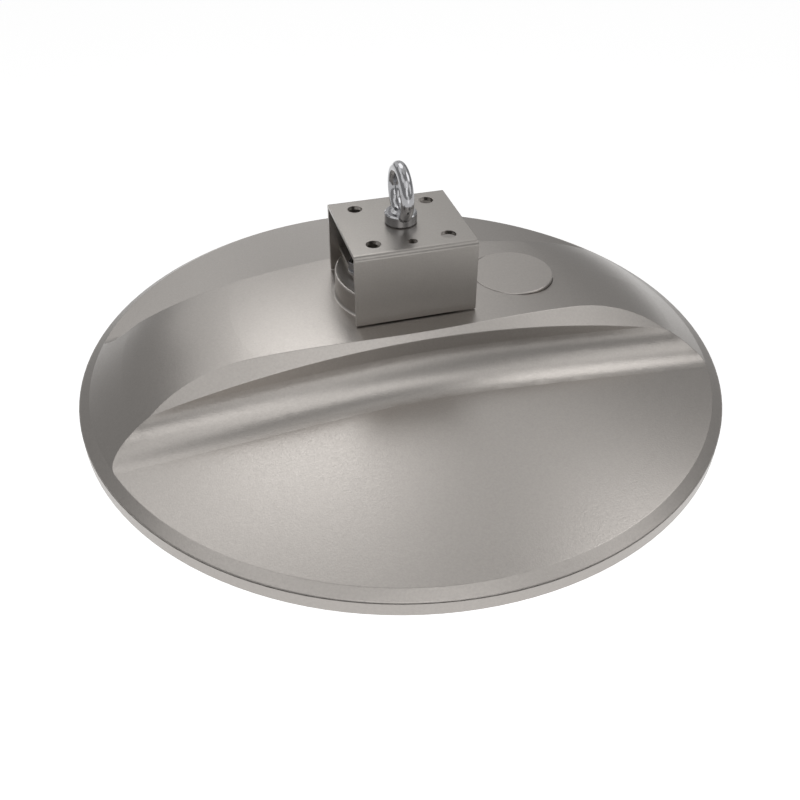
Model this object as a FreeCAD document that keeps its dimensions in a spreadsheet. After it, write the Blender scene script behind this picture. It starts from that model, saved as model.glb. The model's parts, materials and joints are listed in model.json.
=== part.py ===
import FreeCAD, Part
import math
import os
import re

import Sketcher
from FreeCAD import Placement, Rotation, Vector

# High bay light, a shallow round LED luminaire hung from an eye bolt.
# Origin: on the axis of the disc, at the bottom of the lower ring. +Z is up, and X runs along the spine
# that carries the bracket. Sizes are in millimetres.

SIZES = {
    # Disc and crown of the housing
    "rim_radius": 250.0,
    "ring_height": 11.5,
    "flank_width": 8.25,
    "flank_rise": 4.5,
    "crown_rise": 65.0,
    "plateau_radius": 55.0,
    "crown_arc": 560.0,
    "shoulder_radius": 130.0,
    "crown_slope": 37.0,
    "spine_wall": 4.0,
    # Two scoops that leave the spine between them
    "scoop_offset": 65.0,
    "scoop_bow": 4100.0,
    "cove_radius": 26.0,
    "dish_rise": 31.0,
    "bevel_offset": 56.6,
    "bevel_over": 4.0,
    "bevel_run": 50.4,
    "bevel_rise": 48.0,
    "bevel_axis": 460.0,
    # Driver space inside the spine and its cover plate
    "spine_end": 54.0,
    "spine_side": 12.0,
    "pocket_rim": 3.0,
    "pocket_land": 5.0,
    "pocket_rib": 9.0,
    "cavity_side": 24.5,
    "cavity_taper": 10.0,
    "cavity_slope": 11.0,
    "cover_ledge": 8.0,
    "cover_end_ledge": 9.0,
    "cover_plate": 2.0,
    "cover_screw_inset": 46.0,
    "cover_end_screw_y": 35.0,
    # Boss under the bracket
    "boss_radius": 49.5,
    "boss_flare": 2.5,
    "boss_round": 1.0,
    "boss_height": 18.0,
    "boss_sink": 0.3,
    # Lower ring and glass
    "groove_gap": 0.8,
    "ring_wall": 3.5,
    "ring_web": 2.5,
    "ring_edge": 0.8,
    "seal_land_inset": 31.0,
    "seal_land_wall": 4.0,
    "lip_width": 10.0,
    "lip_plate": 1.5,
    "ring_seal_thickness": 1.0,
    "ring_seal_margin": 0.5,
    "glass_margin": 1.0,
    "glass_thickness": 3.0,
    "glass_seal_pad": 0.8,
    "glass_seal_grip": 8.0,
    "ring_screw_inset": 15.5,
    "ring_screw_depth": 3.7,
    "ring_post_radius": 6.0,
    # Screws: shank, head and the room around them
    "m3_shank": 1.5,
    "m3_head": 2.75,
    "m3_head_height": 1.6,
    "m3_flat_head": 3.0,
    "m3_grip": 3.4,
    "m4_shank": 2.0,
    "m4_head": 3.5,
    "m4_head_height": 3.6,
    "screw_gap": 0.1,
    "head_gap": 0.4,
    # Light engine
    "board_inner": 62.0,
    "board_margin": 3.0,
    "board_angle": 59.4,
    "board_plate": 1.6,
    "led_size": 3.4,
    "led_height": 0.7,
    "lens_setback": 10.0,
    "lens_margin": 6.0,
    "lens_angle": 58.4,
    "lens_plate": 2.0,
    "lens_ball": 7.25,
    "lens_drop": 2.0,
    "pocket_radius": 2.9,
    "pocket_depth": 1.0,
    "hub_gap": 8.0,
    "hub_screw_inset": 12.0,
    "link_length": 20.0,
    "link_width": 8.0,
    "link_height": 2.4,
    "link_inset": 3.0,
    # Port with its cap on the spine
    "port_x": 90.5,
    "port_radius": 31.8,
    "port_gap": 0.35,
    "port_seat_drop": 5.7,
    "port_cap_height": 5.5,
    "port_cap_edge": 0.6,
    "port_seat_plate": 6.0,
    "port_seat_margin": 5.0,
    "port_stem": 15.0,
    "port_stem_wall": 2.5,
    "port_stem_length": 19.0,
    "port_nut_flats": 40.0,
    "port_nut_height": 6.0,
    "port_seal_inner": 19.0,
    "port_seal_outer": 27.0,
    "port_seal_height": 1.5,
    # Bracket
    "bracket_length": 90.0,
    "bracket_width": 86.0,
    "bracket_height": 55.5,
    "bracket_sheet": 3.0,
    "bracket_bend": 3.5,
    "bracket_gap": 1.0,
    "mount_spacing": 55.0,
    "mount_hole": 5.4,
    "lanyard_hole": 3.5,
    "lanyard_offset": 30.5,
    "floor_length": 76.0,
    "floor_plate": 3.0,
    "floor_bolt_x": 30.0,
    "flats_gap": 0.5,
    # M10 bolts, nuts and washers
    "m10_shank": 5.0,
    "m10_flats": 17.0,
    "m10_head_height": 6.4,
    "m10_nut_height": 8.0,
    "m10_grip": 12.0,
    "washer_radius": 10.0,
    "washer_plate": 2.0,
    # Eye bolt
    "collar_radius": 11.8,
    "collar_height": 8.5,
    "collar_edge": 1.0,
    "eye_rise": 23.0,
    "eye_radius": 17.3,
    "eye_bar": 4.7,
    "eye_neck_radius": 7.0,
    "eye_neck_top": 5.0,
    "eye_neck_height": 1.5,
    "eye_shank_length": 17.0,
    # Cable gland
    "gland_y": 24.0,
    "gland_flats": 20.0,
    "gland_flange": 5.0,
    "gland_thread": 8.0,
    "gland_thread_length": 10.0,
    "gland_bore": 5.0,
    "gland_neck": 7.5,
    "gland_nut_rise": 1.0,
    "gland_nut_height": 12.0,
    "gland_nut_roof": 3.0,
    "gland_seal_wall": 1.6,
    # Driver and terminal block
    "driver_inset": 12.0,
    "driver_length": 180.0,
    "driver_width": 58.0,
    "driver_height": 34.0,
    "driver_sheet": 1.5,
    "driver_ear": 9.0,
    "driver_post": 5.0,
    "driver_post_radius": 3.0,
    "driver_board_gap": 3.0,
    "coil_length": 32.0,
    "coil_width": 28.0,
    "coil_height": 18.0,
    "coil_shift": 30.0,
    "cap_radius": 7.0,
    "cap_length": 20.0,
    "cap_shift": 45.0,
    "cap_spread": 18.0,
    "terminal_gap": 38.0,
    "terminal_length": 34.0,
    "terminal_width": 24.0,
    "terminal_height": 16.0,
    "terminal_pitch": 7.0,
    "terminal_entry": 7.5,
    "terminal_hole": 1.4,
    "terminal_depth": 6.0,
    "terminal_screw": 1.8,
    "terminal_screw_depth": 3.0,
    "terminal_screw_inset": 8.0,
    # Wires
    "wire_radius": 1.1,
    "wire_bend": 8.0,
    "lead_radius": 0.9,
    "lead_run": 25.0,
    "lead_y": -16.0,
    "lead_pitch": 3.6,
    "grommet_bore": 3.4,
    "grommet_radius": 5.0,
    "grommet_flange": 7.0,
    "grommet_height": 1.5,
}

BOARDS = 6
LENS_ROW_COUNTS = (3, 4, 6, 7)
LENS_ROW_SHARES = (0.18, 0.355, 0.665, 0.835)
BOARD_SCREW_SHARES = (0.51, 0.93)
ROW_ANGLE = 54.0
LENS_LATITUDE = -40.0
RING_SCREWS = 8
HUB_SCREWS = 3
SCOOP_SWEEP = 8.0
BEVEL_SWEEP = 60.0
OVERCUT = 10.0

os.makedirs("parts", exist_ok=True)
doc = FreeCAD.newDocument("HighBayLight")

sheet = doc.addObject("Spreadsheet::Sheet", "Dims")
for row, (alias, size) in enumerate(SIZES.items(), start=1):
    sheet.set(f"A{row}", alias)
    sheet.set(f"B{row}", str(size))
    sheet.setAlias(f"B{row}", alias)
doc.recompute()

WORDS = re.compile(r"\b(" + "|".join(SIZES) + r")\b")
TERM = re.compile(r"([+-]?)\s*(?:([\d.]+)\s*\*\s*)?([A-Za-z_]\w*|[\d.]+)")

# Levels that several pieces share, as sums of sizes
CROWN = "ring_height + crown_rise"
DISH = "ring_height + flank_rise"
BOSS_TOP = CROWN + " + boss_height"
FLOOR_TOP = BOSS_TOP + " + floor_plate"
BRACKET_FOOT = CROWN + " + bracket_gap"
BRACKET_TOP = BRACKET_FOOT + " + bracket_height"
COVER_TOP = "ring_height + cover_plate"
BOARD_FOOT = "ring_height - board_plate"
LENS_FOOT = BOARD_FOOT + " - lens_plate"
GLASS_FOOT = "lip_plate + glass_seal_pad"
GLASS_TOP = GLASS_FOOT + " + glass_thickness"
SEAL_FOOT = "ring_height - ring_seal_thickness"
PORT_SEAT = CROWN + " - port_seat_drop"
PORT_UNDERSIDE = PORT_SEAT + " - port_seat_plate"
CAVITY_HALF = "rim_radius - spine_end"
CAVITY_SIDE = "scoop_offset - spine_side"
DRIVER_FLOOR = COVER_TOP + " + driver_sheet"
DRIVER_BOARD = DRIVER_FLOOR + " + driver_post"
COVER_LENGTH = f"2 * ({CAVITY_HALF} + cover_end_ledge)"
COVER_WIDTH = f"2 * ({CAVITY_SIDE} + cover_ledge)"
DRIVER_X = "spine_end - rim_radius + driver_inset + driver_ear + 0.5 * driver_length"
DRIVER_END = DRIVER_X + " + 0.5 * driver_length"
LEAD_X = DRIVER_END + " + lead_run"
TERMINAL_X = DRIVER_END + " + terminal_gap + 0.5 * terminal_length"
TERMINAL_ENTRY = COVER_TOP + " + terminal_entry"

# Radii that several pieces share
SEAL_LAND = "rim_radius - seal_land_inset"
LIP = SEAL_LAND + " - lip_width"
GLASS = SEAL_LAND + " - glass_margin"
RING_SCREWS_AT = "rim_radius - ring_screw_inset"
BOARD_OUTER = LIP + " - board_margin"
HUB = "board_inner - hub_gap"

AXIS_Z = Vector(0, 0, 1)
AXIS_Y = Vector(0, 1, 0)
UPRIGHT = Rotation()
ALONG_X = Rotation(AXIS_Y, 90)

pieces = []


def linked(text):
    """Expression in which each size name points at its cell of the sheet."""
    return WORDS.sub(r"Dims.\1", text)


def amount(text):
    """Number that a signed sum of sizes comes to."""
    total = 0.0
    for sign, factor, word in TERM.findall(text):
        number = sheet.get(word) if word in SIZES else float(word)
        total += (-1 if sign == "-" else 1) * float(factor or 1) * number
    return total


def bind(obj, **sizes):
    for prop, text in sizes.items():
        obj.setExpression(prop, linked(text))
    return obj


def put(obj, x="0", y="0", z="0", turn=UPRIGHT):
    """Place an object at sums of sizes, turned as given."""
    obj.Placement = Placement(Vector(), turn)
    for axis, text in zip("xyz", (x, y, z)):
        obj.setExpression("Placement.Base." + axis, linked(text))
    return obj


def spot(radius, angle):
    """X and Y texts of a point on a circle about the disc's axis."""
    return f"({radius}) * cos({angle})", f"({radius}) * sin({angle})"


# Solids

def block(name, length, width, height, x, y, z, turn=UPRIGHT):
    """Box centred on x and y that stands on z."""
    obj = bind(doc.addObject("Part::Box", name), Length=length, Width=width, Height=height)
    return put(obj, f"{x} - ({length}) / 2", f"{y} - ({width}) / 2", z, turn)


def bar(name, length, width, height, z, angle):
    """Box centred on the disc's axis, turned about it, that stands on z."""
    obj = bind(doc.addObject("Part::Box", name), Length=length, Width=width, Height=height)
    x = f"0.5 * {width} * sin({angle}) - 0.5 * {length} * cos({angle})"
    y = f"0 - 0.5 * {width} * cos({angle}) - 0.5 * {length} * sin({angle})"
    return put(obj, x, y, z, Rotation(AXIS_Z, angle))


def rod(name, radius, height, x="0", y="0", z="0", turn=UPRIGHT):
    obj = bind(doc.addObject("Part::Cylinder", name), Radius=radius, Height=height)
    return put(obj, x, y, z, turn)


def cone(name, foot, top, height, x="0", y="0", z="0"):
    obj = bind(doc.addObject("Part::Cone", name), Radius1=foot, Radius2=top, Height=height)
    return put(obj, x, y, z)


def hexagon(name, flats, height, x="0", y="0", z="0"):
    obj = doc.addObject("Part::Prism", name)
    obj.Polygon = 6
    bind(obj, Circumradius=f"({flats}) / (2 * cos(30))", Height=height)
    return put(obj, x, y, z)


def fuse(name, parts):
    obj = doc.addObject("Part::MultiFuse", name)
    obj.Shapes = parts
    return obj


def meet(name, parts):
    obj = doc.addObject("Part::MultiCommon", name)
    obj.Shapes = parts
    return obj


def cut(name, base, tools):
    obj = doc.addObject("Part::Cut", name)
    obj.Base = base
    obj.Tool = tools[0] if len(tools) == 1 else fuse(name + "_tools", tools)
    return obj


def rounded(name, base, radius, chosen):
    """Round the edges that the test chooses."""
    doc.recompute()
    obj = doc.addObject("Part::Fillet", name)
    obj.Base = base
    size = amount(radius)
    obj.Edges = [(i + 1, size, size) for i, edge in enumerate(base.Shape.Edges) if chosen(edge)]
    return obj


def group(name, parts, turn=UPRIGHT):
    obj = doc.addObject("Part::Compound", name)
    obj.Links = parts
    obj.Placement = Placement(Vector(), turn)
    return obj


def keep(label, obj):
    """Name a finished sub-part, which is written to a file of the same name."""
    obj.Label = label
    pieces.append(obj)
    return obj


# Sketches

def sketch_in(body, role):
    plane = next(f for f in body.Origin.OriginFeatures if f.Role == role)
    sketch = body.newObject("Sketcher::SketchObject", body.Name + "_sketch")
    sketch.AttachmentSupport = [(plane, "")]
    sketch.MapMode = "FlatFace"
    return sketch


def hold(sketch, kind, edge, end, text):
    """Hold one coordinate of a sketch point at a sum of sizes from the origin."""
    if text == "0":
        axis = -2 if kind == "DistanceX" else -1
        sketch.addConstraint(Sketcher.Constraint("PointOnObject", edge, end, axis))
        return
    index = sketch.addConstraint(Sketcher.Constraint(kind, -1, 1, edge, end, amount(text)))
    sketch.setExpression(f"Constraints[{index}]", linked(text))


def arc_between(start, end, centre, clockwise):
    """Arc of a circle from start to end; its own ends run counter-clockwise."""
    first, last = (end, start) if clockwise else (start, end)
    radius = math.hypot(first[0] - centre[0], first[1] - centre[1])
    circle = Part.Circle(Vector(centre[0], centre[1], 0), AXIS_Z, radius)
    begin = math.atan2(first[1] - centre[1], first[0] - centre[0])
    finish = math.atan2(last[1] - centre[1], last[0] - centre[0])
    return Part.ArcOfCircle(circle, begin, finish)


def outline(sketch, corners, arcs=None):
    """Closed outline through the corners. arcs gives the edges that are round, by the corner that they
    leave: the centre's X, its Y and whether the edge runs clockwise."""
    arcs = arcs or {}
    points = [(amount(x), amount(y)) for x, y in corners]
    ends = []
    for i, start in enumerate(points):
        end = points[(i + 1) % len(points)]
        if i in arcs:
            x, y, clockwise = arcs[i]
            edge = sketch.addGeometry(arc_between(start, end, (amount(x), amount(y)), clockwise), False)
            ends.append((edge, 2, 1) if clockwise else (edge, 1, 2))
            hold(sketch, "DistanceX", edge, 3, x)
        else:
            edge = sketch.addGeometry(Part.LineSegment(Vector(*start, 0), Vector(*end, 0)), False)
            ends.append((edge, 1, 2))
    for i, (edge, first, _) in enumerate(ends):
        before, _, last = ends[i - 1]
        sketch.addConstraint(Sketcher.Constraint("Coincident", before, last, edge, first))
        hold(sketch, "DistanceX", edge, first, corners[i][0])
        hold(sketch, "DistanceY", edge, first, corners[i][1])


def turned(name, corners, arcs=None):
    """Body of revolution about Z from an outline of radius and height."""
    body = doc.addObject("PartDesign::Body", name)
    sketch = sketch_in(body, "XZ_Plane")
    outline(sketch, corners, arcs)
    feature = body.newObject("PartDesign::Revolution", name + "_turn")
    feature.Profile = sketch
    feature.ReferenceAxis = (sketch, ["V_Axis"])
    feature.Angle = 360
    return body


def swung(name, corners, arcs, axis_y, sweep, turn):
    """Body swung about an upright axis at axis_y, from an outline of Y and height, half of the sweep to
    each side."""
    body = doc.addObject("PartDesign::Body", name)
    sketch = sketch_in(body, "YZ_Plane")
    outline(sketch, corners, arcs)
    y = amount(axis_y)
    line = sketch.addGeometry(Part.LineSegment(Vector(y, 0, 0), Vector(y, OVERCUT, 0)), True)
    sketch.addConstraint(Sketcher.Constraint("Vertical", line))
    hold(sketch, "DistanceX", line, 1, axis_y)
    hold(sketch, "DistanceY", line, 1, "0")
    hold(sketch, "DistanceY", line, 2, str(OVERCUT))
    feature = body.newObject("PartDesign::Revolution", name + "_swing")
    feature.Profile = sketch
    feature.ReferenceAxis = (sketch, ["Axis0"])
    feature.Angle = sweep
    feature.Midplane = True
    body.Placement = Placement(Vector(), turn)
    return body


def extruded(name, corners, arcs, length):
    """Body drawn as an outline of Y and height and extruded along X, half to each side."""
    body = doc.addObject("PartDesign::Body", name)
    sketch = sketch_in(body, "YZ_Plane")
    outline(sketch, corners, arcs)
    feature = body.newObject("PartDesign::Pad", name + "_pad")
    feature.Profile = sketch
    feature.SideType = "Symmetric"
    bind(feature, Length=length)
    return body


def mirrored(corners):
    """Outline corners on the +Y side, and then the same ones on the -Y side, from last to first."""
    other = [("0 - " + y.replace("-", "~").replace("+", "-").replace("~", "+"), z) for y, z in corners]
    return corners + other[::-1]


def dome(name, inset):
    """Solid under the crown: a flat plateau, a shallow arc, a shoulder arc and a straight slope down to the
    rim, all set in by the inset."""
    body = doc.addObject("PartDesign::Body", name)
    sketch = sketch_in(body, "XZ_Plane")
    rim = ("rim_radius - 2 * " + inset, "ring_height")
    edge = ("rim_radius - flank_width - 2 * " + inset, DISH)
    plateau = CROWN + " - " + inset
    arc_radius = "crown_arc - " + inset

    flat, top, bend = amount("plateau_radius"), amount(plateau), amount(arc_radius)
    start = amount("shoulder_radius")
    lean, steep = math.asin((start - flat) / bend), math.radians(amount("crown_slope"))
    end = (start, top - bend * (1 - math.cos(lean)))
    rim_point = (amount(rim[0]), amount(rim[1]))
    edge_point = (amount(edge[0]), amount(edge[1]))
    rise = end[1] - edge_point[1] - (edge_point[0] - start) * math.tan(steep)
    reach = -rise / (math.tan(steep) - math.tan(lean)) / math.cos(lean)
    shoulder = reach / math.tan((steep - lean) / 2)
    crown_centre = (flat, top - bend)
    shoulder_centre = (start - shoulder * math.sin(lean), end[1] - shoulder * math.cos(lean))
    slope_point = (shoulder_centre[0] + shoulder * math.sin(steep),
                   shoulder_centre[1] + shoulder * math.cos(steep))

    def line(a, b):
        return sketch.addGeometry(Part.LineSegment(Vector(a[0], a[1], 0), Vector(b[0], b[1], 0)), False)

    foot = line((0, rim_point[1]), rim_point)
    flank = line(rim_point, edge_point)
    slope = line(edge_point, slope_point)
    shoulder_edge = sketch.addGeometry(arc_between(end, slope_point, shoulder_centre, True), False)
    crown_edge = sketch.addGeometry(arc_between((flat, top), end, crown_centre, True), False)
    roof = line((flat, top), (0, top))
    axis = line((0, top), (0, rim_point[1]))

    for a, a_end, b, b_end in ((foot, 2, flank, 1), (flank, 2, slope, 1), (roof, 2, axis, 1),
                               (axis, 2, foot, 1)):
        sketch.addConstraint(Sketcher.Constraint("Coincident", a, a_end, b, b_end))
    sketch.addConstraint(Sketcher.Constraint("Tangent", slope, 2, shoulder_edge, 1))
    sketch.addConstraint(Sketcher.Constraint("Tangent", shoulder_edge, 2, crown_edge, 1))
    sketch.addConstraint(Sketcher.Constraint("Tangent", crown_edge, 2, roof, 1))
    index = sketch.addConstraint(Sketcher.Constraint("Radius", crown_edge, bend))
    sketch.setExpression(f"Constraints[{index}]", linked(arc_radius))
    index = sketch.addConstraint(Sketcher.Constraint("Angle", slope, math.pi - steep))
    sketch.setExpression(f"Constraints[{index}]", linked("(180 - crown_slope) * 1 deg"))
    hold(sketch, "DistanceX", foot, 1, "0")
    hold(sketch, "DistanceY", foot, 1, rim[1])
    hold(sketch, "DistanceX", flank, 1, rim[0])
    hold(sketch, "DistanceY", flank, 1, rim[1])
    hold(sketch, "DistanceX", flank, 2, edge[0])
    hold(sketch, "DistanceY", flank, 2, edge[1])
    hold(sketch, "DistanceX", crown_edge, 1, "shoulder_radius")
    hold(sketch, "DistanceX", roof, 1, "plateau_radius")
    hold(sketch, "DistanceY", roof, 1, plateau)
    hold(sketch, "DistanceX", roof, 2, "0")
    sketch.addConstraint(Sketcher.Constraint("Horizontal", roof))

    feature = body.newObject("PartDesign::Revolution", name + "_turn")
    feature.Profile = sketch
    feature.ReferenceAxis = (sketch, ["V_Axis"])
    feature.Angle = 360
    return body


# Fasteners, each pointing up from z

def cap_screw(name, head, head_height, shank, length, x, y, z):
    """Screw with a round head below and its shank above."""
    top = rod(name + "_head", head, head_height, x, y, z)
    body = rod(name + "_shank", shank, length, x, y, f"{z} + {head_height}")
    return fuse(name, [top, body])


def flat_screw(name, head, plate, shank, length, x, y, z):
    """Countersunk screw whose flat head is flush with z."""
    top = cone(name + "_head", head, shank, plate, x, y, z)
    body = rod(name + "_shank", shank, length, x, y, f"{z} + {plate}")
    return fuse(name, [top, body])


QUARTERS = [(a, b) for a in "+-" for b in "+-"]
COVER_SCREW_SPOTS = [(f"0 {a} ({x})", f"0 {b} ({y})") for x, y in (
    (CAVITY_HALF + " - cover_screw_inset", CAVITY_SIDE + " + 0.5 * cover_ledge"),
    (CAVITY_HALF + " + 0.5 * cover_end_ledge", "cover_end_screw_y")) for a, b in QUARTERS]
RING_SCREW_ANGLES = [(i + 0.5) * 360 / RING_SCREWS for i in range(RING_SCREWS)]
BOARD_ANGLES = [(i + 0.5) * 360 / BOARDS for i in range(BOARDS)]
HUB_SCREW_SPOTS = [spot(HUB + " - hub_screw_inset", 90 + i * 360 / HUB_SCREWS) for i in range(HUB_SCREWS)]


def board_spot(share, angle):
    """Point on a board, at a share of the way from its inner edge to its outer one."""
    return spot(f"board_inner + {share} * ({BOARD_OUTER} - board_inner)", angle)


BOARD_SCREW_SPOTS = [board_spot(share, a) for a in BOARD_ANGLES for share in BOARD_SCREW_SHARES]


# Upper housing: a cast aluminium disc with a hollow spine

def scoop_cutters():
    """What the two scoops take away: an upright wall, a cove and the dish, which is a shallow cone about
    the disc's axis."""
    far = "0 - rim_radius - " + str(OVERCUT)
    roof = CROWN + " + boss_height + " + str(OVERCUT)
    low = DISH + " - dish_rise"
    wide = "2 * rim_radius - 2 * flank_width"
    wall = "0 - scoop_offset"
    corners = [(wall, roof), (wall, low), (far, low), (far, roof)]
    cone_corners = [("0", roof), ("0", DISH + " + dish_rise"), (wide, low), (wide, roof)]
    cutters = []
    for side, turn in (("front", UPRIGHT), ("back", Rotation(AXIS_Z, 180))):
        beside = swung("beside_spine_" + side, corners, {}, "scoop_bow - scoop_offset", SCOOP_SWEEP, turn)
        above = turned("above_dish_" + side, cone_corners)
        cutters.append(rounded("scoop_" + side, meet("sharp_scoop_" + side, [beside, above]),
                               "cove_radius", between_wall_and_dish))
    return cutters


def between_wall_and_dish(edge):
    box = edge.BoundBox
    return (box.XLength > amount("rim_radius") and box.ZMax < amount(CROWN)
            and abs(box.Center.y) < amount("scoop_offset + cove_radius"))


def bevel_cutters():
    """What the bevels along the spine's edges take away, clear of the dishes."""
    far = "0 - rim_radius - " + str(OVERCUT)
    roof = CROWN + " + bevel_over"
    corners = [("0 - bevel_offset", roof), ("0 - bevel_offset - bevel_run", roof + " - bevel_rise"),
               (far, roof + " - bevel_rise"), (far, roof)]
    band = block("bevel_band", "4 * rim_radius", "2 * scoop_offset + 2 * spine_side", "2 * crown_rise", "0", "0",
                 "0")
    return [meet("bevel_" + side, [swung("bevel_swing_" + side, corners, {}, "bevel_axis", BEVEL_SWEEP, turn),
                                   band])
            for side, turn in (("front", UPRIGHT), ("back", Rotation(AXIS_Z, 180)))]


def spine_cavity():
    """Driver space: sloping sides, and a roof that follows the crown at the wall's thickness, with the
    port's thick seat left standing."""
    side = "ring_height + cavity_side"
    half = CAVITY_SIDE
    roof = CROWN + " + " + str(OVERCUT)
    foot = "ring_height - " + str(OVERCUT)
    corners = mirrored([(half, foot), (half, side), (half + " - cavity_taper", side + " + cavity_slope"),
                        (half + " - cavity_taper", roof)])
    prism = extruded("cavity_prism", corners, {}, f"2 * ({CAVITY_HALF})")
    space = meet("cavity_space", [prism, dome("cavity_roof", "spine_wall")])
    seat = rod("port_seat", "port_radius + port_seat_margin", str(2 * OVERCUT) + " + port_seat_plate",
               "port_x", "0", PORT_UNDERSIDE)
    return cut("cavity", space, [seat])


def dish_pockets():
    """Pockets that open downwards under both dishes, with the dish's wall over them and ribs between
    them. Every second rib carries the screws of a board."""
    foot = "ring_height - " + str(OVERCUT)
    outer = BOARD_OUTER + " - pocket_rim"
    apex = DISH + " + dish_rise - spine_wall"
    wide = "2 * rim_radius - 2 * flank_width"
    under = turned("under_dish", [("0", foot), (wide, foot), (wide, DISH + " - dish_rise - spine_wall"),
                                  ("0", apex)])
    within = rod("pocket_reach", outer, "dish_rise + ring_height + " + str(OVERCUT), z=foot)
    space = meet("pocket_space", [under, within])
    spine = block("pocket_spine", "2 * rim_radius", f"2 * ({CAVITY_SIDE} + cover_ledge + pocket_land)",
                  "crown_rise", "0", "0", foot)
    ribs = [bar(f"pocket_rib_{i}", "2 * rim_radius", "pocket_rib", "crown_rise", foot, i * 180 / BOARDS)
            for i in range(1, BOARDS)]
    return cut("dish_pockets", space, [spine] + ribs)


def bracket_boss():
    """Round cast boss with two flats that fit between the bracket's walls."""
    foot = CROWN + " - spine_wall"
    low = CROWN + " - boss_sink"
    wide = "boss_radius + boss_flare"
    corners = [("0", foot), (wide, foot), (wide, low), ("boss_radius", low + " + boss_flare"),
               ("boss_radius", BOSS_TOP + " - boss_round"), ("boss_radius - boss_round", BOSS_TOP),
               ("0", BOSS_TOP)]
    arcs = {2: (wide, low + " + boss_flare", True),
            4: ("boss_radius - boss_round", BOSS_TOP + " - boss_round", False)}
    slab = block("boss_slab", "4 * boss_radius", "bracket_width - 2 * bracket_sheet - 2 * flats_gap",
                 "boss_height + spine_wall", "0", "0", foot)
    return meet("bracket_boss", [turned("boss_turned", corners, arcs), slab])


def housing_holes():
    holes = [block("cover_rebate", COVER_LENGTH, COVER_WIDTH, "2 * cover_plate", "0", "0",
                   "ring_height - cover_plate")]
    seat_room = str(2 * OVERCUT)
    holes.append(rod("port_recess", "port_radius + port_gap", seat_room, "port_x", "0", PORT_SEAT))
    holes.append(rod("port_bore", "port_stem + screw_gap", "crown_rise", "port_x", "0",
                     "ring_height + " + str(2 * OVERCUT)))
    holes.append(rod("gland_thread_hole", "gland_thread + screw_gap", "2 * gland_thread_length", "0",
                     "gland_y", BOSS_TOP + " - gland_thread_length - screw_gap"))
    holes.append(rod("gland_passage", "gland_bore", "boss_height + 2 * spine_wall", "0", "gland_y",
                     CROWN + " - 2 * spine_wall"))
    for i, side in enumerate(("floor_bolt_x", "-floor_bolt_x")):
        holes.append(rod(f"floor_bolt_hole_{i}", "m10_shank + screw_gap",
                         "m10_grip + screw_gap + floor_plate", side, "0",
                         BOSS_TOP + " - m10_grip - screw_gap"))
    for i, (x, y) in enumerate(COVER_SCREW_SPOTS):
        holes.append(rod(f"cover_screw_hole_{i}", "m3_shank + screw_gap",
                         "cover_plate + m3_grip + head_gap", x, y, "ring_height"))
    for i, (x, y) in enumerate(BOARD_SCREW_SPOTS):
        holes.append(rod(f"board_screw_hole_{i}", "m3_shank + screw_gap", "m3_grip + head_gap", x, y,
                         "ring_height - head_gap"))
    for i, angle in enumerate(RING_SCREW_ANGLES):
        x, y = spot(RING_SCREWS_AT, angle)
        holes.append(rod(f"ring_screw_hole_{i}", "m4_shank + screw_gap", "ring_screw_depth + head_gap",
                         x, y, "ring_height - head_gap"))
    return holes


def upper_housing():
    crown = dome("crown", "0")
    carved = cut("carved_crown", crown, scoop_cutters() + bevel_cutters())
    hollow = cut("hollow_crown", carved, [spine_cavity(), dish_pockets()])
    raised = fuse("raised_crown", [hollow, bracket_boss()])
    keep("upper_housing", cut("upper_housing", raised, housing_holes()))


# Lower ring, glass and seals

def lower_ring():
    """Cast channel ring with a lip that carries the glass, and eight screw posts."""
    outer = "rim_radius"
    inner = "rim_radius - ring_wall"
    top = "ring_height - groove_gap"
    back = SEAL_LAND + " + seal_land_wall"
    corners = [(LIP, "0"), (outer + " - ring_edge", "0"), (outer, "ring_edge"), (outer, top), (inner, top),
               (inner, "ring_web"), (back, "ring_web"), (back, SEAL_FOOT), (SEAL_LAND, SEAL_FOOT),
               (SEAL_LAND, "lip_plate"), (LIP, "lip_plate")]
    posts, holes = [], []
    for i, angle in enumerate(RING_SCREW_ANGLES):
        x, y = spot(RING_SCREWS_AT, angle)
        posts.append(rod(f"ring_post_{i}", "ring_post_radius", "ring_height - 0.5 * ring_web", x, y,
                         "0.5 * ring_web"))
        holes.append(rod(f"ring_head_hole_{i}", "m4_head + head_gap", "m4_head_height + head_gap", x, y))
        holes.append(rod(f"ring_shank_hole_{i}", "m4_shank + screw_gap", "ring_height", x, y, "head_gap"))
    ring = fuse("ring_with_posts", [turned("ring_channel", corners)] + posts)
    keep("lower_ring", cut("lower_ring", ring, holes))


def ring_screws():
    screws = []
    for i, angle in enumerate(RING_SCREW_ANGLES):
        x, y = spot(RING_SCREWS_AT, angle)
        screws.append(cap_screw(f"ring_screw_{i}", "m4_head", "m4_head_height", "m4_shank",
                                "ring_height - m4_head_height - 2 * head_gap + ring_screw_depth", x, y,
                                "head_gap"))
    keep("ring_screws", group("ring_screws", screws))


def glass_and_seals():
    rim = SEAL_LAND + " - ring_seal_margin"
    grip = SEAL_LAND + " - glass_seal_grip"
    keep("cover_glass", rod("cover_glass", GLASS, "glass_thickness", z=GLASS_FOOT))
    keep("glass_seal", turned("glass_seal", [
        (grip, "lip_plate"), (rim, "lip_plate"), (rim, GLASS_TOP), (GLASS, GLASS_TOP), (GLASS, GLASS_FOOT),
        (grip, GLASS_FOOT)]))
    near = SEAL_LAND + " + ring_seal_margin"
    far = SEAL_LAND + " + seal_land_wall - ring_seal_margin"
    keep("ring_seal", turned("ring_seal", [
        (near, SEAL_FOOT), (far, SEAL_FOOT), (far, "ring_height"), (near, "ring_height")]))


# Light engine

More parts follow.
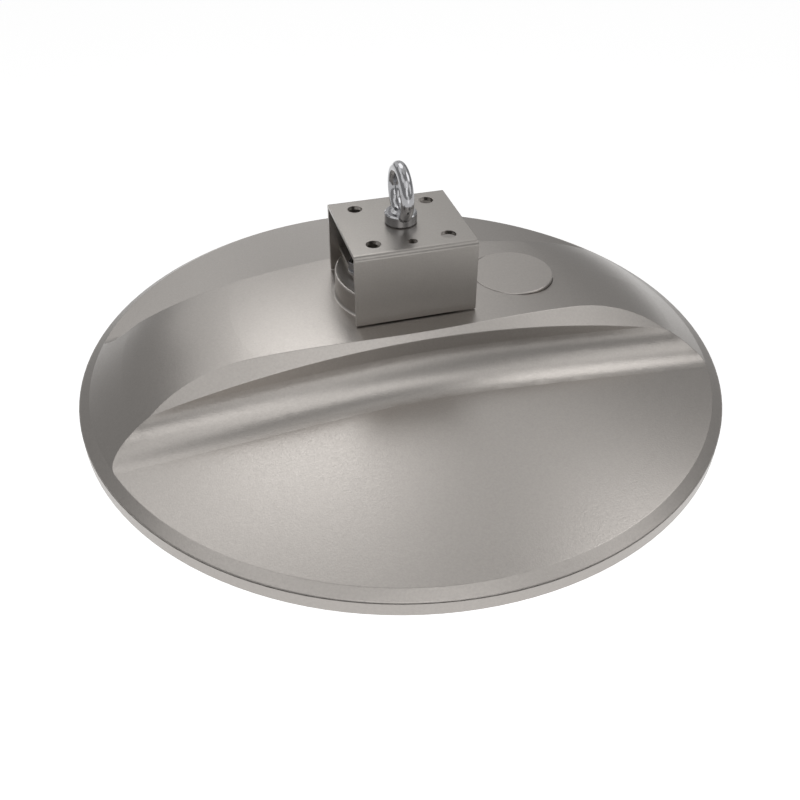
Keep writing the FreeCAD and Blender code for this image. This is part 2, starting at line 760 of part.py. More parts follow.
def sector(name, inner, outer, angle, height, z, middle):
    """Part of a flat ring, centred on a direction."""
    body = rod(name + "_disc", outer, height, z=z, turn=Rotation(AXIS_Z, middle))
    half = sheet.get(angle) / 2
    body.Placement = Placement(Vector(), Rotation(AXIS_Z, middle - half))
    body.setExpression("Placement.Base.z", linked(z))
    body.setExpression("Placement.Rotation.Angle", linked(f"{middle} - {angle} / 2"))
    body.setExpression("Angle", linked(angle))
    return body, rod(name + "_bore", inner, f"3 * ({height})", z=f"{z} - ({height})")


def board_turn(i):
    return Rotation(AXIS_Z, i * 360 / BOARDS)


def keep_ring_of(name, first):
    """The first of six like pieces, and the other five turned into place about the axis."""
    keep(f"{name}_1", first)
    for i in range(1, BOARDS):
        label = f"{name}_{i + 1}"
        keep(label, group(label, [first], board_turn(i)))


def led_boards():
    middle = BOARD_ANGLES[0]
    disc, bore = sector("led_board", "board_inner", BOARD_OUTER, "board_angle", "board_plate", BOARD_FOOT,
                        middle)
    holes = [rod(f"board_hole_{i}", "m3_shank + screw_gap", "3 * board_plate", *board_spot(share, middle),
                 BOARD_FOOT + " - board_plate") for i, share in enumerate(BOARD_SCREW_SHARES)]
    keep_ring_of("led_board", cut("led_board_1", disc, [bore] + holes))


def lens_spots(middle):
    """Places of the lamps over one board, row by row."""
    places = []
    for share, count in zip(LENS_ROW_SHARES, LENS_ROW_COUNTS):
        for k in range(count):
            places.append(board_spot(share, middle + (k - (count - 1) / 2) * ROW_ANGLE / count))
    return places


def led_packages():
    leds = [block(f"led_{i}", "led_size", "led_size", "led_height", x, y, BOARD_FOOT + " - led_height")
            for i, (x, y) in enumerate(lens_spots(BOARD_ANGLES[0]))]
    first = group("led_set_0", leds)
    others = [group(f"led_set_{i}", [first], board_turn(i)) for i in range(1, BOARDS)]
    keep("led_packages", group("led_packages", [first] + others))


def lens_plates():
    middle = BOARD_ANGLES[0]
    disc, bore = sector("lens", "board_inner + lens_setback", LIP + " - lens_margin", "lens_angle",
                        "lens_plate", LENS_FOOT, middle)
    balls, pockets = [], []
    for i, (x, y) in enumerate(lens_spots(middle)):
        ball = bind(doc.addObject("Part::Sphere", f"lens_ball_{i}"), Radius="lens_ball")
        ball.Angle1 = -90
        ball.Angle2 = LENS_LATITUDE
        balls.append(put(ball, x, y, LENS_FOOT + " - lens_drop + lens_ball"))
        pockets.append(rod(f"lens_pocket_{i}", "pocket_radius", "2 * pocket_depth", x, y,
                           BOARD_FOOT + " - pocket_depth"))
    holes = [rod(f"lens_hole_{i}", "m3_shank + screw_gap", "3 * lens_plate", *board_spot(share, middle),
                 LENS_FOOT + " - lens_plate") for i, share in enumerate(BOARD_SCREW_SHARES)]
    domed = fuse("lens_domed", [disc] + balls)
    keep_ring_of("lens_plate", cut("lens_plate_1", domed, [bore] + pockets + holes))


def board_screws():
    length = "lens_plate + board_plate + m3_grip - head_gap"
    screws = [cap_screw(f"board_screw_{i}", "m3_head", "m3_head_height", "m3_shank", length, x, y,
                        LENS_FOOT + " - m3_head_height") for i, (x, y) in enumerate(BOARD_SCREW_SPOTS)]
    keep("board_screws", group("board_screws", screws))


def hub():
    """Round board at the centre that feeds the six sector boards through plug-on links."""
    under = BOARD_FOOT + " - board_plate"
    holes = [rod(f"hub_hole_{i}", "m3_shank + screw_gap", "3 * board_plate", x, y, under)
             for i, (x, y) in enumerate(HUB_SCREW_SPOTS)]
    holes += [rod(f"hub_lead_hole_{i}", "lead_radius + screw_gap", "3 * board_plate", LEAD_X,
                  f"lead_y + {shift} * lead_pitch", under) for i, shift in enumerate((-0.5, 0.5))]
    keep("hub_board", cut("hub_board", rod("hub_disc", HUB, "board_plate", z=BOARD_FOOT), holes))
    screws = [cap_screw(f"hub_screw_{i}", "m3_head", "m3_head_height", "m3_shank",
                        "board_plate + cover_plate", x, y, BOARD_FOOT + " - m3_head_height")
              for i, (x, y) in enumerate(HUB_SCREW_SPOTS)]
    keep("hub_screws", group("hub_screws", screws))
    links = []
    for i, angle in enumerate(BOARD_ANGLES):
        link = doc.addObject("Part::Box", f"board_link_{i}")
        bind(link, Length="link_length", Width="link_width", Height="link_height")
        along, across = "(board_inner - link_inset - link_length / 2)", "(link_width / 2)"
        put(link, f"{along} * cos({angle}) + {across} * sin({angle})",
            f"{along} * sin({angle}) - {across} * cos({angle})", BOARD_FOOT + " - link_height",
            Rotation(AXIS_Z, angle))
        links.append(link)
    keep("board_links", group("board_links", links))


# Driver, its cover plate and the terminal block

def driver_cover():
    plate = block("driver_cover_plate", COVER_LENGTH, COVER_WIDTH, "cover_plate", "0", "0", "ring_height")
    holes = [cone(f"cover_head_{i}", "m3_flat_head", "m3_shank", "cover_plate", x, y, "ring_height")
             for i, (x, y) in enumerate(COVER_SCREW_SPOTS)]
    holes += [rod(f"cover_hub_hole_{i}", "m3_shank + screw_gap", "3 * cover_plate", x, y,
                  "ring_height - cover_plate") for i, (x, y) in enumerate(HUB_SCREW_SPOTS)]
    holes += [rod(f"cover_ear_hole_{i}", "m4_shank + screw_gap", "3 * cover_plate",
                  f"{DRIVER_X} {side} (driver_length + driver_ear) / 2", "0", "ring_height - cover_plate")
              for i, side in enumerate("+-")]
    holes.append(rod("cover_lead_hole", "grommet_radius", "3 * cover_plate", LEAD_X, "lead_y",
                     "ring_height - cover_plate"))
    keep("driver_cover", cut("driver_cover", plate, holes))
    screws = [flat_screw(f"cover_screw_{i}", "m3_flat_head", "cover_plate", "m3_shank", "m3_grip", x, y,
                         "ring_height") for i, (x, y) in enumerate(COVER_SCREW_SPOTS)]
    keep("cover_screws", group("cover_screws", screws))
    keep("lead_grommet", turned_at("lead_grommet", [
        ("grommet_bore", "0"), ("grommet_radius", "0"), ("grommet_radius", "cover_plate"),
        ("grommet_flange", "cover_plate"), ("grommet_flange", "cover_plate + grommet_height"),
        ("grommet_bore", "cover_plate + grommet_height")], LEAD_X, "lead_y", "ring_height"))


def turned_at(name, corners, x, y, z, arcs=None):
    return put(turned(name, corners, arcs), x, y, z)


def driver():
    """Driver in a folded case, on a base plate with two ears."""
    base_length = "driver_length + 2 * driver_ear"
    plate = block("driver_base_plate", base_length, "driver_width", "driver_sheet", DRIVER_X, "0",
                  COVER_TOP)
    post_x = "0.5 * driver_length - 4 * driver_post_radius"
    post_y = "0.5 * driver_width - 3 * driver_post_radius"
    posts = [rod(f"driver_post_{i}", "driver_post_radius", "driver_post", f"{DRIVER_X} {a} ({post_x})",
                 f"0 {b} ({post_y})", DRIVER_FLOOR) for i, (a, b) in enumerate(QUARTERS)]
    ears = [rod(f"driver_ear_hole_{i}", "m4_shank + screw_gap", "3 * driver_sheet",
                f"{DRIVER_X} {side} (driver_length + driver_ear) / 2", "0", COVER_TOP + " - driver_sheet")
            for i, side in enumerate("+-")]
    keep("driver_base", cut("driver_base", fuse("driver_base_body", [plate] + posts), ears))

    shell = block("driver_shell", "driver_length", "driver_width", "driver_height", DRIVER_X, "0",
                  DRIVER_FLOOR)
    room = block("driver_room", "driver_length - 2 * driver_sheet", "driver_width - 2 * driver_sheet",
                 "driver_height", DRIVER_X, "0", DRIVER_FLOOR + " - driver_sheet")
    end = DRIVER_END + " - 2 * driver_sheet"
    entries = [rod(f"driver_entry_{i}", "terminal_hole", "4 * driver_sheet", end, f"{k} * terminal_pitch",
                   TERMINAL_ENTRY + " + terminal_entry", ALONG_X) for i, k in enumerate((-1, 0, 1))]
    entries += [rod(f"driver_exit_{i}", "terminal_hole", "4 * driver_sheet", end,
                    f"lead_y + {k} * lead_pitch", TERMINAL_ENTRY, ALONG_X)
                for i, k in enumerate((-0.5, 0.5))]
    keep("driver_case", cut("driver_case", shell, [room] + entries))

    keep("driver_board", block("driver_board", "driver_length - 2 * driver_sheet - 2 * driver_board_gap",
                               "driver_width - 2 * driver_sheet - 2 * driver_board_gap", "board_plate",
                               DRIVER_X, "0", DRIVER_BOARD))
    keep("driver_transformer", block("driver_transformer", "coil_length", "coil_width", "coil_height",
                                     DRIVER_X + " - coil_shift", "0", DRIVER_BOARD + " + board_plate"))
    cans = [rod(f"driver_can_{i}", "cap_radius", "cap_length", DRIVER_X + " + cap_shift",
                f"{k} * cap_spread", DRIVER_BOARD + " + board_plate") for i, k in enumerate((-0.5, 0.5))]
    keep("driver_capacitors", group("driver_capacitors", cans))
    screws = []
    for i, side in enumerate("+-"):
        x = f"{DRIVER_X} {side} (driver_length + driver_ear) / 2"
        head = rod(f"driver_screw_head_{i}", "m4_head", "0.6 * m4_head_height", x, "0", DRIVER_FLOOR)
        shank = rod(f"driver_screw_shank_{i}", "m4_shank", "cover_plate + driver_sheet", x, "0",
                    "ring_height")
        screws.append(fuse(f"driver_screw_{i}", [head, shank]))
    keep("driver_screws", group("driver_screws", screws))


def terminal_block():
    body = block("terminal_body", "terminal_length", "terminal_width", "terminal_height", TERMINAL_X, "0",
                 COVER_TOP)
    tools, screws = [], []
    for i, k in enumerate((-1, 0, 1)):
        y = f"{k} * terminal_pitch"
        for j, side in enumerate("-+"):
            start = f"{TERMINAL_X} {side} 0.5 * terminal_length - terminal_depth"
            tools.append(rod(f"terminal_hole_{i}{j}", "terminal_hole", "2 * terminal_depth", start, y,
                             TERMINAL_ENTRY, ALONG_X))
        for j, side in enumerate("+-"):
            x = f"{TERMINAL_X} {side} (0.5 * terminal_length - terminal_screw_inset)"
            z = COVER_TOP + " + terminal_height - terminal_screw_depth"
            tools.append(rod(f"terminal_well_{i}{j}", "terminal_screw + screw_gap",
                             "2 * terminal_screw_depth", x, y, z))
            screws.append(rod(f"terminal_screw_{i}{j}", "terminal_screw", "0.7 * terminal_screw_depth",
                              x, y, z))
    keep("terminal_block", cut("terminal_block", body, tools))
    keep("terminal_screws", group("terminal_screws", screws))


# Port with its cap

def port():
    edge = "port_radius - port_cap_edge"
    top = "port_cap_height"
    hollow = "port_stem - port_stem_wall"
    keep("port_cap", turned_at("port_cap", [
        ("0", "0"), (hollow, "0"), (hollow, "0 - port_stem_length"), ("port_stem", "0 - port_stem_length"),
        ("port_stem", "0"), ("port_seal_inner", "0"), ("port_seal_inner", "port_seal_height"),
        ("port_seal_outer", "port_seal_height"), ("port_seal_outer", "0"), ("port_radius", "0"),
        ("port_radius", top + " - port_cap_edge"), (edge, top), ("0", top)], "port_x", "0", PORT_SEAT))
    keep("port_seal", turned_at("port_seal", [
        ("port_seal_inner", "0"), ("port_seal_outer", "0"), ("port_seal_outer", "port_seal_height"),
        ("port_seal_inner", "port_seal_height")], "port_x", "0", PORT_SEAT))
    nut = hexagon("port_nut_body", "port_nut_flats", "port_nut_height", "port_x", "0",
                  PORT_UNDERSIDE + " - port_nut_height")
    bore = rod("port_nut_bore", "port_stem + screw_gap", "3 * port_nut_height", "port_x", "0",
               PORT_UNDERSIDE + " - 2 * port_nut_height")
    keep("port_nut", cut("port_nut", nut, [bore]))


# Bracket, its floor plate and their bolts

def mounting_bracket():
    half = "0.5 * bracket_width"
    inner = "0.5 * bracket_width - bracket_sheet"
    roof = BRACKET_TOP + " - bracket_sheet"
    right = [(half, BRACKET_FOOT), (half, BRACKET_TOP + " - bracket_bend"),
             (half + " - bracket_bend", BRACKET_TOP)]
    inside = [(inner, BRACKET_FOOT), (inner, BRACKET_TOP + " - bracket_bend"),
              (half + " - bracket_bend", roof)]
    left_outer = mirrored(right)[3:]
    left_inner = mirrored(inside)[3:]
    corners = right + left_outer + left_inner[::-1] + inside[::-1]
    bend_y = BRACKET_TOP + " - bracket_bend"
    bend_x = half + " - bracket_bend"
    other_x = "0 - 0.5 * bracket_width + bracket_bend"
    arcs = {1: (bend_x, bend_y, False), 3: (other_x, bend_y, False), 7: (other_x, bend_y, True),
            9: (bend_x, bend_y, True)}
    sheet_body = extruded("bracket_sheet_body", corners, arcs, "bracket_length")
    depth = "3 * bracket_sheet"
    foot = BRACKET_TOP + " - 2 * bracket_sheet"
    holes = [rod("eye_hole", "m10_shank + screw_gap", depth, z=foot),
             rod("lanyard_hole", "lanyard_hole", depth, "0", "-lanyard_offset", foot)]
    holes += [rod(f"mount_hole_{i}", "mount_hole", depth, f"0 {a} mount_spacing / 2",
                  f"0 {b} mount_spacing / 2", foot) for i, (a, b) in enumerate(QUARTERS)]
    keep("mounting_bracket", cut("mounting_bracket", sheet_body, holes))


def bracket_floor():
    plate = block("floor_sheet", "floor_length", "bracket_width - 2 * bracket_sheet", "floor_plate",
                  "0", "0", BOSS_TOP)
    tools = [rod("floor_gland_hole", "gland_thread + screw_gap", "3 * floor_plate", "0", "gland_y",
                 BOSS_TOP + " - floor_plate")]
    washers, bolts = [], []
    for i, x in enumerate(("floor_bolt_x", "-floor_bolt_x")):
        tools.append(rod(f"floor_hole_{i}", "m10_shank + screw_gap", "3 * floor_plate", x, "0",
                         BOSS_TOP + " - floor_plate"))
        washers.append(washer(f"floor_washer_{i}", x, "0", FLOOR_TOP))
        head = hexagon(f"floor_bolt_head_{i}", "m10_flats", "m10_head_height", x, "0",
                       FLOOR_TOP + " + washer_plate")
        shank = rod(f"floor_bolt_shank_{i}", "m10_shank", "m10_grip + floor_plate + washer_plate", x, "0",
                    BOSS_TOP + " - m10_grip")
        bolts.append(fuse(f"floor_bolt_{i}", [head, shank]))
    keep("bracket_floor", cut("bracket_floor", plate, tools))
    keep("floor_washers", group("floor_washers", washers))
    keep("floor_bolts", group("floor_bolts", bolts))


def washer(name, x, y, z):
    plate = rod(name + "_plate", "washer_radius", "washer_plate", x, y, z)
    bore = rod(name + "_bore", "m10_shank + screw_gap", "3 * washer_plate", x, y, f"{z} - washer_plate")
    return cut(name, plate, [bore])


def eye_bolt():
    collar = turned_at("eye_collar", [
        ("0", "0"), ("collar_radius - collar_edge", "0"), ("collar_radius", "collar_edge"),
        ("collar_radius", "collar_height - collar_edge"), ("collar_radius - collar_edge", "collar_height"),
        ("0", "collar_height")], "0", "0", BRACKET_TOP)
    neck = cone("eye_neck", "eye_neck_radius", "eye_neck_top", "eye_neck_height",
                z=BRACKET_TOP + " + collar_height")
    eye = bind(doc.addObject("Part::Torus", "eye_ring"), Radius1="eye_radius", Radius2="eye_bar")
    put(eye, z=BRACKET_TOP + " + eye_rise", turn=ALONG_X)
    shank = rod("eye_shank", "m10_shank", "eye_shank_length", z=BRACKET_TOP + " - eye_shank_length")
    keep("eye_bolt", fuse("eye_bolt", [collar, neck, eye, shank]))
    under = BRACKET_TOP + " - bracket_sheet - washer_plate"
    keep("eye_washer", washer("eye_washer", "0", "0", under))
    nut = hexagon("eye_nut_body", "m10_flats", "m10_nut_height", "0", "0", under + " - m10_nut_height")
    bore = rod("eye_nut_bore", "m10_shank + screw_gap", "3 * m10_nut_height",
               z=under + " - 2 * m10_nut_height")
    keep("eye_nut", cut("eye_nut", nut, [bore]))


# Cable gland

def cable_gland():
    x, y = "0", "gland_y"
    flange = hexagon("gland_hex", "gland_flats", "gland_flange", x, y, FLOOR_TOP)
    thread = rod("gland_stem", "gland_thread", "gland_thread_length + floor_plate", x, y,
                 BOSS_TOP + " - gland_thread_length")
    neck = rod("gland_neck_tube", "gland_thread", "gland_neck", x, y, FLOOR_TOP + " + gland_flange")
    bore = rod("gland_through", "gland_bore", "boss_height + gland_flange + gland_neck + floor_plate",
               x, y, BOSS_TOP + " - boss_height")
    cup = rod("gland_cup", "gland_bore + 0.5 * gland_seal_wall", "2 * gland_neck", x, y,
              FLOOR_TOP + " + gland_flange + screw_gap")
    keep("gland_body", cut("gland_body", fuse("gland_solid", [flange, thread, neck]), [bore, cup]))

    seal = rod("gland_seal_solid", "gland_bore + 0.5 * gland_seal_wall - screw_gap", "gland_neck", x, y,
               FLOOR_TOP + " + gland_flange + screw_gap")
    core = rod("gland_seal_bore", "gland_bore - 0.5 * gland_seal_wall", "3 * gland_neck", x, y,
               FLOOR_TOP + " + gland_flange - gland_neck")
    keep("gland_seal", cut("gland_seal", seal, [core]))

    foot = FLOOR_TOP + " + gland_flange + gland_nut_rise"
    shell = hexagon("gland_nut_shell", "gland_flats", "gland_nut_height", x, y, foot)
    room = rod("gland_nut_room", "gland_thread + screw_gap",
               "gland_nut_height - gland_nut_roof + gland_nut_rise", x, y, foot + " - gland_nut_rise")
    mouth = rod("gland_nut_mouth", "gland_bore", "2 * gland_nut_height", x, y, foot)
    keep("gland_nut", cut("gland_nut", shell, [room, mouth]))


# Wires inside the spine; the supply cord isn't part of the light

def wire(label, points, radius, bend):
    """Round wire along straight runs joined by tangent arcs."""
    path = [Vector(*(amount(text) for text in point)) for point in points]
    edges = []
    start = path[0]
    for before, corner, after in zip(path, path[1:], path[2:]):
        into = (corner - before).normalize()
        out = (after - corner).normalize()
        turn = into.getAngle(out)
        reach = bend * math.tan(turn / 2)
        first = corner - into * reach
        last = corner + out * reach
        inward = (out - into).normalize()
        middle = corner + inward * (bend / math.cos(turn / 2) - bend)
        edges.append(Part.LineSegment(start, first).toShape())
        edges.append(Part.Arc(first, middle, last).toShape())
        start = last
    edges.append(Part.LineSegment(start, path[-1]).toShape())
    spine = Part.Wire(edges)
    ring = Part.Wire(Part.Circle(path[0], path[1] - path[0], radius).toShape())
    tube = spine.makePipeShell([ring], True, False)
    expected = math.pi * radius ** 2 * spine.Length
    if abs(tube.Volume - expected) > 0.01 * expected:
        raise ValueError(label + ": the wire's volume doesn't match its length")
    obj = doc.addObject("Part::Feature", label)
    obj.Shape = tube
    return keep(label, obj)


def wires():
    radius, bend = sheet.get("wire_radius"), sheet.get("wire_bend")
    near = TERMINAL_X + " - 0.5 * terminal_length"
    high = TERMINAL_ENTRY + " + terminal_entry"
    for sign, name in (("- 1", "neutral"), ("+ 0", "earth"), ("+ 1", "live")):
        y = f"0 {sign} * terminal_pitch"
        wire("driver_wire_" + name, [
            (near + " + 0.5 * terminal_depth", y, TERMINAL_ENTRY),
            (near + " - terminal_entry", y, TERMINAL_ENTRY), (DRIVER_END + " + 2 * terminal_entry", y, high),
            (DRIVER_END + " - 4 * driver_sheet", y, high)], radius, bend)
    for sign, name in (("-", "minus"), ("+", "plus")):
        y = f"lead_y {sign} 0.5 * lead_pitch"
        wire("led_lead_" + name, [
            (DRIVER_END + " - 2 * driver_sheet", y, TERMINAL_ENTRY), (LEAD_X, y, TERMINAL_ENTRY),
            (LEAD_X, y, BOARD_FOOT)], sheet.get("lead_radius"), 0.5 * bend)


upper_housing()
lower_ring()
ring_screws()
glass_and_seals()
led_boards()
led_packages()
lens_plates()
board_screws()
hub()
driver_cover()
driver()
terminal_block()
port()
mounting_bracket()
bracket_floor()
eye_bolt()
cable_gland()
wires()

doc.recompute()

for obj in doc.Objects:
    if "Invalid" in obj.State or "Error" in obj.State:
        raise RuntimeError(f"{obj.Name} failed: {obj.State}")
for piece in pieces:
    shape = piece.Shape
    if shape.isNull() or not shape.isValid() or not shape.Solids:
        raise RuntimeError(f"{piece.Label} has no valid solid")
    shape.exportStep(f"parts/{piece.Label}.step")
    print(f"{piece.Label}: {len(shape.Solids)} solids, {shape.Volume:.0f} mm3")
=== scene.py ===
"""High bay light: materials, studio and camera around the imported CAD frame."""
import json
import math

import bpy
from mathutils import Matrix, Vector

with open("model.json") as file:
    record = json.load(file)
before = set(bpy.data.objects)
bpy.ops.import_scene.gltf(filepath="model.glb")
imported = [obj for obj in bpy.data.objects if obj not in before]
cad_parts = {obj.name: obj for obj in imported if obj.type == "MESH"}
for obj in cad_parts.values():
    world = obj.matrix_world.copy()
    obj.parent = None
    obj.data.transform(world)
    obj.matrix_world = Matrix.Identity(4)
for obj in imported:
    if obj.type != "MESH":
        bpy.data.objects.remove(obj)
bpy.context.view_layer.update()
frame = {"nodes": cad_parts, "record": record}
nodes = frame["nodes"]

# Camera: place and direction in the object's frame, in metres, and lens and sensor in millimetres
CAMERA_AT = Vector((-0.16695, -0.58460, 0.45065))
CAMERA_LOOK = Vector((0.2144, 0.7532, -0.6219))
CAMERA_LENS = 41.88
CAMERA_SENSOR = 36.0
CLIP_START = 0.01
CLIP_END = 100.0

# Studio: the floor lies well below the light, as when it hangs, and its glow makes it white in the camera,
# in metal and in glass
FLOOR_Z = -1.0
FLOOR_RADIUS = 12.0
FLOOR_SIDES = 96
FLOOR_COLOUR = (0.9, 0.9, 0.9)
FLOOR_ROUGHNESS = 0.9
FLOOR_GLOW = 0.64
WORLD = 0.37

# Soft round lamps about the object: azimuth from +Y towards +X and elevation in degrees, and brightness. The
# brightnesses are rounded from a least-squares fit to the photograph's light and shade.
LAMP_DISTANCE = 1.2
LAMP_RADIUS = 0.32
LAMPS = (
    (0, 3, 0.47),
    (180, 3, 0.68),
    (18, 28, 0.32),
    (126, 28, 0.89),
    (198, 28, 1.31),
    (342, 28, 0.49),
    (0, 52, 1.90),
    (45, 52, 0.41),
    (90, 52, 1.77),
    (135, 52, 0.48),
    (180, 52, 1.08),
    (225, 52, 0.72),
    (270, 52, 0.80),
    (315, 52, 0.86),
    (0, 78, 0.41),
)

# The grey coat of the castings, and a darker copy of the same coat on the bracket, which paints shade onto
# the bracket
COAT = (0.4, 0.376, 0.354)
SHADED_BRACKET_COAT = (0.345, 0.326, 0.306)

# Noise: the detail of grain and of patches, and the range that most of a noise's values lie in
GRAIN_DETAIL = 3.0
PATCH_DETAIL = 4.0
NOISE_LOW = 0.3
NOISE_HIGH = 0.7

# Samples for each softened edge
EDGE_SAMPLES = 6


# Materials

def material(name):
    """New node material, with its node tree and its Principled shader."""
    made = bpy.data.materials.new(name)
    made.use_nodes = True
    tree = made.node_tree
    shader = tree.nodes["Principled BSDF"]
    return made, tree, shader


def position(tree):
    """Object coordinates, which are metres in the object's frame."""
    return tree.nodes.new("ShaderNodeTexCoord").outputs["Object"]


def noise(tree, where, scale, detail):
    """Noise at a position."""
    node = tree.nodes.new("ShaderNodeTexNoise")
    node.inputs["Scale"].default_value = scale
    node.inputs["Detail"].default_value = detail
    tree.links.new(where, node.inputs["Vector"])
    return node.outputs["Fac"]


def spread(tree, value, low, high):
    """Value from a noise, spread from low to high."""
    node = tree.nodes.new("ShaderNodeMapRange")
    node.inputs["From Min"].default_value = NOISE_LOW
    node.inputs["From Max"].default_value = NOISE_HIGH
    node.inputs["To Min"].default_value = low
    node.inputs["To Max"].default_value = high
    tree.links.new(value, node.inputs["Value"])
    return node.outputs["Result"]


def tinted(tree, value, colour, depth):
    """Colour that a noise makes a little darker and lighter."""
    node = tree.nodes.new("ShaderNodeMix")
    node.data_type = "RGBA"
    node.inputs["A"].default_value = (*[channel * (1 - depth) for channel in colour], 1)
    node.inputs["B"].default_value = (*[min(1, channel * (1 + depth)) for channel in colour], 1)
    tree.links.new(value, node.inputs["Factor"])
    return node.outputs["Result"]


def bump(tree, height, depth, strength, edge):
    """Normal from a height, over edges that look rounded by the edge radius where there is one."""
    node = tree.nodes.new("ShaderNodeBump")
    node.inputs["Distance"].default_value = depth
    node.inputs["Strength"].default_value = strength
    tree.links.new(height, node.inputs["Height"])
    if edge:
        soft = tree.nodes.new("ShaderNodeBevel")
        soft.samples = EDGE_SAMPLES
        soft.inputs["Radius"].default_value = edge
        tree.links.new(soft.outputs["Normal"], node.inputs["Normal"])
    return node.outputs["Normal"]


def surface(name, colour, roughness, metallic=0.0, grain=900.0, grain_depth=0.00005, grain_strength=0.4,
            tint=0.04, patch=14.0, rough_spread=0.05, edge=0.0, **sockets):
    """Surface with a grain in its height and roughness, and patches of tint, fine where patch is large."""
    made, tree, shader = material(name)
    where = position(tree)
    grains = noise(tree, where, grain, GRAIN_DETAIL)
    patches = noise(tree, where, patch, PATCH_DETAIL)
    tree.links.new(tinted(tree, patches, colour, tint), shader.inputs["Base Color"])
    tree.links.new(spread(tree, grains, roughness - rough_spread, roughness + rough_spread),
                   shader.inputs["Roughness"])
    tree.links.new(bump(tree, grains, grain_depth, grain_strength, edge), shader.inputs["Normal"])
    shader.inputs["Metallic"].default_value = metallic
    for socket, value in sockets.items():
        shader.inputs[socket.replace("_", " ")].default_value = value
    return made


MATERIALS = {
    "housing_coat": surface("powder_coat", COAT, 0.33, 1.0, grain=800.0, grain_depth=0.00025,
                            grain_strength=0.3, tint=0.1, patch=600.0, edge=0.0008),
    # The bracket's coat is the castings' coat made darker: painted shade on the bracket
    "bracket_coat": surface("bracket_coat", SHADED_BRACKET_COAT, 0.33, 1.0, grain=900.0, grain_depth=0.0002,
                            grain_strength=0.25, tint=0.09, patch=700.0, edge=0.0004),
    "zinc_steel": surface("zinc_plate", (0.38, 0.38, 0.39), 0.12, 1.0, grain=600.0, grain_strength=0.15,
                          rough_spread=0.06, tint=0.1, patch=160.0, edge=0.0004),
    "cover_glass": surface("toughened_glass", (0.93, 0.97, 0.96), 0.03, rough_spread=0.01,
                           grain_strength=0.02, tint=0.01, Transmission_Weight=1.0, IOR=1.5),
    "seal_rubber": surface("seal_rubber", (0.035, 0.035, 0.035), 0.6, grain=500.0, grain_strength=0.6),
    "circuit_board": surface("solder_mask", (0.82, 0.83, 0.8), 0.35, grain=300.0, grain_strength=0.2),
    "led": surface("phosphor", (0.85, 0.68, 0.16), 0.4, grain=2500.0, grain_strength=0.4),
    "lens": surface("lens_acrylic", (0.95, 0.97, 0.98), 0.06, rough_spread=0.02, grain_strength=0.05,
                    tint=0.01, Transmission_Weight=0.6, IOR=1.49),
    "inner_sheet": surface("mill_aluminium", (0.62, 0.62, 0.63), 0.34, 1.0, grain=700.0, edge=0.0004),
    "white_plastic": surface("white_nylon", (0.74, 0.73, 0.69), 0.45, grain=400.0, edge=0.0004),
    "black_plastic": surface("black_nylon", (0.025, 0.025, 0.026), 0.42, grain=400.0, edge=0.0004),
    "winding": surface("taped_winding", (0.42, 0.28, 0.07), 0.4, grain=260.0, tint=0.12, edge=0.0004),
    "gland_metal": surface("nickel_plate", (0.63, 0.61, 0.57), 0.24, 1.0, grain=500.0, grain_strength=0.2,
                           edge=0.0005),
    "wire_brown": surface("brown_sleeve", (0.13, 0.05, 0.02), 0.4),
    "wire_blue": surface("blue_sleeve", (0.02, 0.07, 0.35), 0.4),
    "wire_green": surface("green_sleeve", (0.12, 0.33, 0.03), 0.4),
    "wire_red": surface("red_sleeve", (0.45, 0.02, 0.015), 0.4),
    "wire_black": surface("black_sleeve", (0.02, 0.02, 0.02), 0.4),
}

for part in frame["record"]["subparts"]:
    piece = nodes[part["node"]]
    piece.data.materials.clear()
    piece.data.materials.append(MATERIALS[part["material_slot"]])


# Studio

def direction(azimuth, elevation):
    """Unit vector for an azimuth from +Y towards +X and an elevation, both in degrees."""
    turn, rise = math.radians(azimuth), math.radians(elevation)
    return Vector((math.sin(turn) * math.cos(rise), math.cos(turn) * math.cos(rise), math.sin(rise)))


def studio_world():
    """Even grey light from all sides."""
    world = bpy.data.worlds.new("studio")
    bpy.context.scene.world = world
    world.use_nodes = True
    world.node_tree.nodes["Background"].inputs["Color"].default_value = (WORLD, WORLD, WORLD, 1)


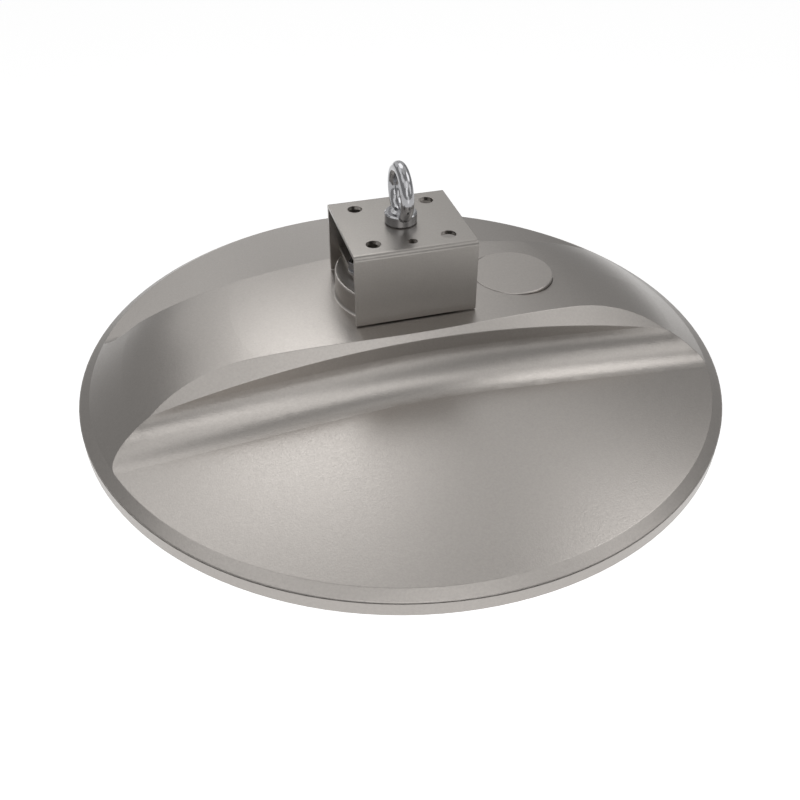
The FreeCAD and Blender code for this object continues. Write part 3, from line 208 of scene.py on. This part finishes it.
def studio_lamps():
    """Round lamps that the camera doesn't see, each with the power that its brightness and size need."""
    for azimuth, elevation, brightness in LAMPS:
        data = bpy.data.lights.new("studio_lamp", "POINT")
        data.shadow_soft_size = LAMP_RADIUS
        data.energy = 4 * math.pi ** 2 * LAMP_RADIUS ** 2 * brightness
        lamp = bpy.data.objects.new("studio_lamp", data)
        lamp.location = LAMP_DISTANCE * direction(azimuth, elevation)
        lamp.visible_camera = False
        bpy.context.scene.collection.objects.link(lamp)


def floor_glow(tree):
    """Glow for rays from the camera, metal and glass, and none for rays that light the object."""
    path = tree.nodes.new("ShaderNodeLightPath")
    seen = path.outputs["Is Camera Ray"]
    for name in ("Is Glossy Ray", "Is Transmission Ray"):
        either = tree.nodes.new("ShaderNodeMath")
        either.operation = "MAXIMUM"
        tree.links.new(seen, either.inputs[0])
        tree.links.new(path.outputs[name], either.inputs[1])
        seen = either.outputs[0]
    glow = tree.nodes.new("ShaderNodeMath")
    glow.operation = "MULTIPLY"
    glow.inputs[1].default_value = FLOOR_GLOW
    tree.links.new(seen, glow.inputs[0])
    return glow.outputs[0]


def studio_floor():
    """Pale round floor."""
    bpy.ops.mesh.primitive_circle_add(vertices=FLOOR_SIDES, radius=FLOOR_RADIUS, fill_type="NGON",
                                      location=(0, 0, FLOOR_Z))
    floor = bpy.context.object
    floor.name = "floor"
    made, tree, shader = material("pale_floor")
    shader.inputs["Base Color"].default_value = (*FLOOR_COLOUR, 1)
    shader.inputs["Roughness"].default_value = FLOOR_ROUGHNESS
    shader.inputs["Emission Color"].default_value = (1, 1, 1, 1)
    tree.links.new(floor_glow(tree), shader.inputs["Emission Strength"])
    floor.data.materials.append(made)


def studio_camera():
    """Camera at the photograph's viewing angle."""
    data = bpy.data.cameras.new("camera")
    data.lens = CAMERA_LENS
    data.sensor_width = CAMERA_SENSOR
    data.clip_start = CLIP_START
    data.clip_end = CLIP_END
    camera = bpy.data.objects.new("camera", data)
    bpy.context.scene.collection.objects.link(camera)
    camera.location = CAMERA_AT
    camera.rotation_mode = "QUATERNION"
    camera.rotation_quaternion = CAMERA_LOOK.to_track_quat("-Z", "Y")
    bpy.context.scene.camera = camera


studio_world()
studio_lamps()
studio_floor()
studio_camera()
bpy.context.scene.view_settings.view_transform = "Standard"
